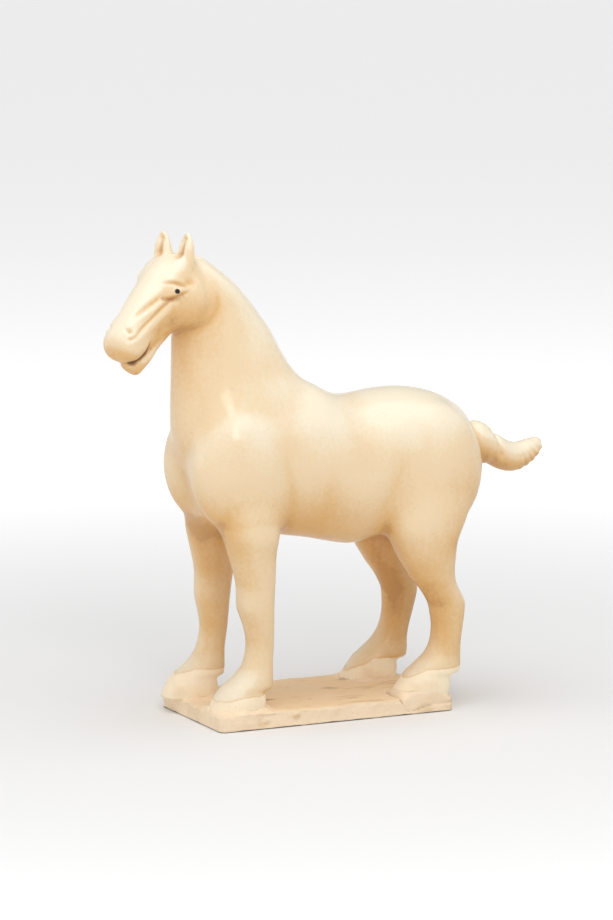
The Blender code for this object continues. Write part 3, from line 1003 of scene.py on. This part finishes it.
def clayColour(g, place):
    # unglazed body clay: pale, with faint rusty clouds and specks
    clouds = g.noise(place, 45.0, 4.0, 0.6)
    specks = g.noise(place, 620.0, 2.0)
    colour = g.blend(glaze["clay"], glaze["clayShade"], g.ramp(clouds, 0.42, 0.78, 0.0, 0.55))
    return g.blend(colour, glaze["pit"], g.ramp(specks, 0.68, 0.8, 0.0, 0.3))


def glazeMaterial():
    g = Graph("strawGlaze")
    place = g.place()
    # uneven thickness: broad runs, patches and a fine mottle
    x, y, z = g.split(place)
    runs = g.noise(g.gather(x, y, z * 0.3), 55.0, 3.0)
    patches = g.noise(place, 17.0, 3.0, 0.55)
    mottle = g.noise(place, 340.0, 3.0, 0.6)
    # glaze tone: thicker glaze with painted shade, paler where painted light falls on tops, varied by runs,
    # patches and mottle; amber to deep brown as it rises
    thickAndShade = g.attribute("poolAndShade") + (runs - 0.5) * glaze["runs"] + (patches - 0.5) * glaze["patches"]
    thickAndShade = g.clamp(thickAndShade + (mottle - 0.5) * glaze["mottle"])
    low = g.blend(glaze["thin"], glaze["straw"], g.ramp(thickAndShade, 0.0, 0.38))
    colour = g.blend(low, glaze["amber"], g.ramp(thickAndShade, 0.36, 0.9))
    colour = g.blend(colour, glaze["pooledAndShade"], g.ramp(thickAndShade, 0.82, 1.25))
    # craze lines and pinholes
    wander = g.noise(place, 120.0, 2.0)
    bent = g.vectorMath("ADD", place, g.gather(wander * 0.004, wander * -0.003, wander * 0.002))
    cells = g.node("ShaderNodeTexVoronoi", {"feature": "DISTANCE_TO_EDGE"}, {"Vector": bent, "Scale": 430.0})
    craze = g.ramp(cells, 0.0, 0.06, 1.0, 0.0)
    colour = g.blend(colour, glaze["pooledAndShade"], craze * g.ramp(patches, 0.35, 0.7) * glaze["craze"])
    dots = g.node("ShaderNodeTexVoronoi", None, {"Vector": place, "Scale": 210.0})
    chosen = g.ramp(g.noise(place, 70.0, 1.0), 0.52, 0.66)
    pits = g.ramp(dots, 0.06, 0.13, 1.0, 0.0) * chosen
    colour = g.blend(colour, glaze["pit"], pits * glaze["pinholes"])
    # painted shade, brown, in the lid creases, the ear hollows and the mouth, with thicker glaze in the ears
    # and mouth
    grit = g.ramp(g.noise(place, 900.0, 2.0), 0.35, 0.65, 0.3, 1.0)
    colour = g.blend(colour, glaze["pooledAndShade"], g.clamp(g.attribute("lidShade") * grit) * 0.8)
    colour = g.blend(colour, glaze["pooledAndShade"], g.attribute("inEar") * 0.55)
    inMouth = g.attribute("inMouth")
    colour = g.blend(colour, glaze["pooledAndShade"], g.ramp(inMouth, 0.05, 0.35, 0.0, 0.7))
    # painted shadow: near black in the slit of the mouth
    colour = g.blend(colour, glaze["mouth"], g.ramp(inMouth, 0.3, 0.8, 0.0, 0.85))
    inner, outer = eyes["radius"] - eyes["edge"], eyes["radius"] + eyes["edge"]
    pupil = g.ramp(g.attribute("fromPupil"), inner, outer, 1.0, 0.0)
    colour = g.blend(colour, glaze["pupil"], pupil)
    # bare hooves below a wandering edge, a darker roll of glaze along it
    above = g.attribute("aboveGlazeEdge") + (g.noise(place, 90.0, 3.0) - 0.5) * glaze["edgeWander"]
    bare = g.ramp(above, -0.35, 0.35, 1.0, 0.0)
    roll = g.ramp(above, 0.2, 1.6, 1.0, 0.0)
    colour = g.blend(colour, glaze["amber"], roll * 0.35)
    colour = g.blend(colour, clayColour(g, place), bare)
    dip = g.noise(place, 160.0, 2.0)
    height = (dip - 0.5) * 0.6 - pits * 0.8 - craze * 0.1 + (1.0 - bare) * 0.8
    bump = g.node("ShaderNodeBump", None, {"Strength": 0.25, "Distance": 0.0004, "Height": height})
    shader = g.node("ShaderNodeBsdfPrincipled", None, {
        "Base Color": colour, "Roughness": g.ramp(bare, 0.0, 1.0, glaze["roughness"], 0.85),
        "Coat Weight": (1.0 - bare) * g.ramp(z, 0.03, 0.12, 0.35, 1.0) * glaze["gloss"],
        "Coat Roughness": glaze["glossBlur"],
        "Specular IOR Level": glaze["sheen"], "Normal": bump})
    return g.finish(shader)


slabLook = {
    "side": (0.92, 0.74, 0.53, 1),
    "cloud": (0.80, 0.59, 0.37, 1),
    "top": (0.95, 0.72, 0.44, 1),
    "topDark": (0.46, 0.27, 0.12, 1),
    "mark": (0.30, 0.17, 0.08, 1),
    "patch": (0.64, 0.40, 0.17, 1),
    # painted shadow where the slab meets the floor
    "floorShadow": (0.03, 0.02, 0.015, 1),
    "roughness": 0.78,
    "fray": 3.4,            # how ragged the stains are
    # middle x, y, z, radius, strength
    "stains": [
        (53, -33, 7, 1.8, 0.5), (53, -56, 5, 2.2, 0.4), (53, -60, 3, 2.4, 0.4), (53, -84, 5, 1.2, 0.35),
        (12, -39, 12, 4.5, 0.65), (53, 68, 3, 4, 0.3), (50, 88, 4, 4, 0.4), (-6, 22, 12, 4.0, 0.4),
        (-30, 46, 12, 4.0, 0.45), (22, -8, 12, 1.6, 0.4), (-20, -6, 12, 2.0, 0.3),
        (-50, -92, 9, 2.0, 0.4), (21, 53.5, 11, 1.3, 0.9),
    ],
}


def clayMaterial():
    g = Graph("bareClay")
    place = g.place()
    clouds = g.noise(place, 38.0, 4.0, 0.6)
    colour = g.blend(slabLook["side"], slabLook["cloud"], g.ramp(clouds, 0.42, 0.75, 0.0, 0.6))
    # the worn, glaze-splashed top, streaked along the slab
    x, y, z = g.split(place)
    long = g.gather(x, y * 0.35, z)
    streaks = g.noise(long, 70.0, 5.0, 0.65, 0.4)
    top = g.attribute("topStain") * g.ramp(g.noise(place, 26.0, 3.0), 0.25, 0.6, 0.55, 1.0)
    colour = g.blend(colour, slabLook["top"], g.clamp(top * g.ramp(streaks, 0.25, 0.6, 0.45, 1.0)))
    colour = g.blend(colour, slabLook["topDark"], top * g.ramp(streaks, 0.54, 0.8, 0.0, 0.7))
    # stains are drawn out a little along the slab
    drawn = g.gather(x, y * 0.6, z)
    fray = (g.noise(long, 190.0, 4.0, 0.65) - 0.5) * slabLook["fray"]
    for sx, sy, sz, radius, strength in slabLook["stains"]:
        away = g.vectorMath("DISTANCE", drawn, Vector((sx, sy * 0.6, sz)) * mm, out=1)
        shade = g.ramp(away * (1 / (radius * mm)) + fray, 0.2, 1.3, strength, 0.0)
        colour = g.blend(colour, slabLook["mark" if sz > 10 else "patch"], shade)
    inCrack = g.ramp(g.attribute("fromCrack") + fray * 0.25, 0.1, 0.95, 0.6, 0.0)
    colour = g.blend(colour, slabLook["mark"], inCrack)
    specks = g.noise(place, 520.0, 2.0)
    colour = g.blend(colour, slabLook["patch"], g.ramp(specks, 0.66, 0.8, 0.0, 0.4))
    # painted shadow: a dark line where the slab meets the floor
    line = g.attribute("height") + (g.noise(place, 90.0, 2.0) - 0.5) * 1.6
    colour = g.blend(colour, slabLook["floorShadow"], g.ramp(line, 0.35, 1.0, 0.95, 0.0))
    grain = g.noise(place, 420.0, 4.0, 0.65) * 0.5 + g.noise(place, 140.0, 3.0)
    bump = g.node("ShaderNodeBump", None, {"Strength": 0.45, "Distance": 0.0006, "Height": grain})
    shader = g.node("ShaderNodeBsdfPrincipled", None,
                    {"Base Color": colour, "Roughness": slabLook["roughness"], "Normal": bump})
    return g.finish(shader)


studio = {
    "azimuth": 64.3,
    "elevation": 8.2,
    "lens": 150.0,
    "distance": 2.7485,
    "aim": (0.0, -0.00055, 0.1815),
    "world": 0.37,
    "horizon": 0.95,
    "floorGlow": 0.52,
    # azimuth, elevation, distance, width, height, watts
    "lamps": {
        "softKey": (75, 34, 1.9, 0.52, 0.8, 7.0),
        "overhead": (72, 79, 2.2, 2.6, 2.6, 41),
        "frontFill": (-14, 9, 2.4, 1.9, 0.8, 6),
    },
}


def floorMaterial():
    g = Graph("paleFloor")
    place = g.place()
    away = g.vectorMath("LENGTH", place, out=1)
    glow = g.blend((0.1, 0.1, 0.1, 1), (1, 1, 1, 1), g.ramp(away, 0.2, 1.5))
    return g.finish(g.node("ShaderNodeBsdfPrincipled", None, {
        "Base Color": (0.8, 0.8, 0.8, 1), "Roughness": 0.9, "Emission Color": glow,
        "Emission Strength": studio["floorGlow"]}))


def dress(piece, material):
    piece.data.materials.clear()
    piece.data.materials.append(material)


dress(figure, glazeMaterial())
dress(slabPiece, clayMaterial())
print("materials made")


def direction(azimuth, elevation):
    a, e = math.radians(azimuth), math.radians(elevation)
    return Vector((math.sin(a) * math.cos(e), -math.cos(a) * math.cos(e), math.sin(e)))


def makeFloor():
    clearSelection()
    bpy.ops.mesh.primitive_plane_add(size=120)
    floor = bpy.context.object
    floor.name = "floor"
    dress(floor, floorMaterial())


def makeLight(name, azimuth, elevation, distance, width, height, watts):
    out = direction(azimuth, elevation)
    clearSelection()
    bpy.ops.object.light_add(type="AREA", location=Vector(studio["aim"]) + out * distance)
    lamp = bpy.context.object
    lamp.name = name
    lamp.rotation_euler = out.to_track_quat("Z", "Y").to_euler()
    lamp.data.shape = "RECTANGLE"
    lamp.data.size = width
    lamp.data.size_y = height
    lamp.data.energy = watts


def makeWorld():
    # even light from all round, whiter just above the horizon so that the floor has no visible end
    world = bpy.data.worlds.new("studio")
    bpy.context.scene.world = world
    world.use_nodes = True
    nodes, links = world.node_tree.nodes, world.node_tree.links
    place = nodes.new("ShaderNodeTexCoord")
    parts = nodes.new("ShaderNodeSeparateXYZ")
    links.new(place.outputs["Generated"], parts.inputs[0])
    ramp = nodes.new("ShaderNodeMapRange")
    ramp.interpolation_type = "SMOOTHSTEP"
    settings = {"From Min": 0.08, "From Max": 0.22, "To Min": studio["horizon"], "To Max": studio["world"]}
    for name, value in settings.items():
        ramp.inputs[name].default_value = value
    links.new(parts.outputs["Z"], ramp.inputs["Value"])
    backdrop = nodes["Background"]
    backdrop.inputs["Color"].default_value = (1, 1, 1, 1)
    links.new(ramp.outputs["Result"], backdrop.inputs["Strength"])


def makeCamera():
    out = direction(studio["azimuth"], studio["elevation"])
    clearSelection()
    bpy.ops.object.camera_add(location=Vector(studio["aim"]) + out * studio["distance"])
    camera = bpy.context.object
    camera.rotation_euler = out.to_track_quat("Z", "Y").to_euler()
    camera.data.lens = studio["lens"]
    camera.data.sensor_width = 36.0
    camera.data.clip_end = 200.0
    bpy.context.scene.camera = camera


bpy.context.scene.view_settings.view_transform = "Standard"
makeFloor()
makeWorld()
for name, values in studio["lamps"].items():
    makeLight(name, *values)
makeCamera()

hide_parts("horse")
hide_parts("base_slab")
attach(figure, "root")
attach(slabPiece, "root")
